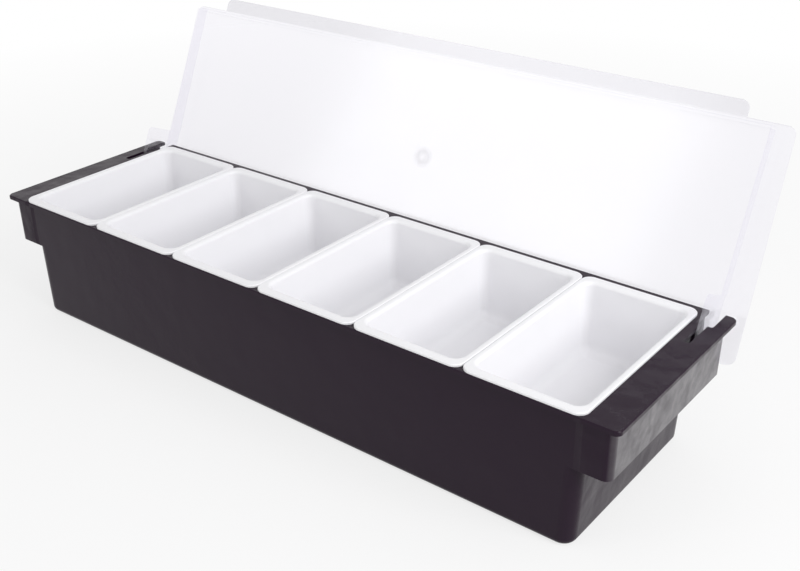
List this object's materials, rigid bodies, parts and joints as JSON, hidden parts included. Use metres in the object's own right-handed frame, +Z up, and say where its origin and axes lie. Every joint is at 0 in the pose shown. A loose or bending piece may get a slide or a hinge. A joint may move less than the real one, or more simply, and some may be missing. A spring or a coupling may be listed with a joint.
{
  "type": "bar garnish tray",
  "caption": "Long countertop garnish tray: black trough with hollow end handles, white lift-out inserts and a clear hinged lid.",
  "frame": {"origin": "centre of the trough's underside, where it rests on the counter", "axes": "+X along the trough towards the end on the right of someone in front of it, +Y from the finger lip's side to the hinge side, +Z up"},
  "size_m": [0.4986, 0.2054, 0.1962],
  "materials": {
    "black_plastic": "satin moulded, fine grain",
    "white_plastic": "semi-gloss moulded",
    "clear_plastic": "clear moulded"
  },
  "bodies": {
    "housing": {"housing": "black_plastic"},
    "insert_1": {"insert_1": "white_plastic"},
    "insert_2": {"insert_2": "white_plastic"},
    "insert_3": {"insert_3": "white_plastic"},
    "insert_4": {"insert_4": "white_plastic"},
    "insert_5": {"insert_5": "white_plastic"},
    "insert_6": {"insert_6": "white_plastic"},
    "lid": {"lid": "clear_plastic"}
  },
  "joints": [
    {"name": "lid_hinge", "type": "hinge", "parent": "housing", "child": "lid", "pos_m": [0, 0.0585, 0.079], "axis": [-1, 0, 0], "range_deg": [-114, 0]},
    {"name": "insert_1_lift", "type": "slide", "parent": "housing", "child": "insert_1", "axis": [0, 0, 1], "range_m": [0, 0.09]},
    {"name": "insert_2_lift", "type": "slide", "parent": "housing", "child": "insert_2", "axis": [0, 0, 1], "range_m": [0, 0.09]},
    {"name": "insert_3_lift", "type": "slide", "parent": "housing", "child": "insert_3", "axis": [0, 0, 1], "range_m": [0, 0.09]},
    {"name": "insert_4_lift", "type": "slide", "parent": "housing", "child": "insert_4", "axis": [0, 0, 1], "range_m": [0, 0.09]},
    {"name": "insert_5_lift", "type": "slide", "parent": "housing", "child": "insert_5", "axis": [0, 0, 1], "range_m": [0, 0.09]},
    {"name": "insert_6_lift", "type": "slide", "parent": "housing", "child": "insert_6", "axis": [0, 0, 1], "range_m": [0, 0.09]}
  ]
}
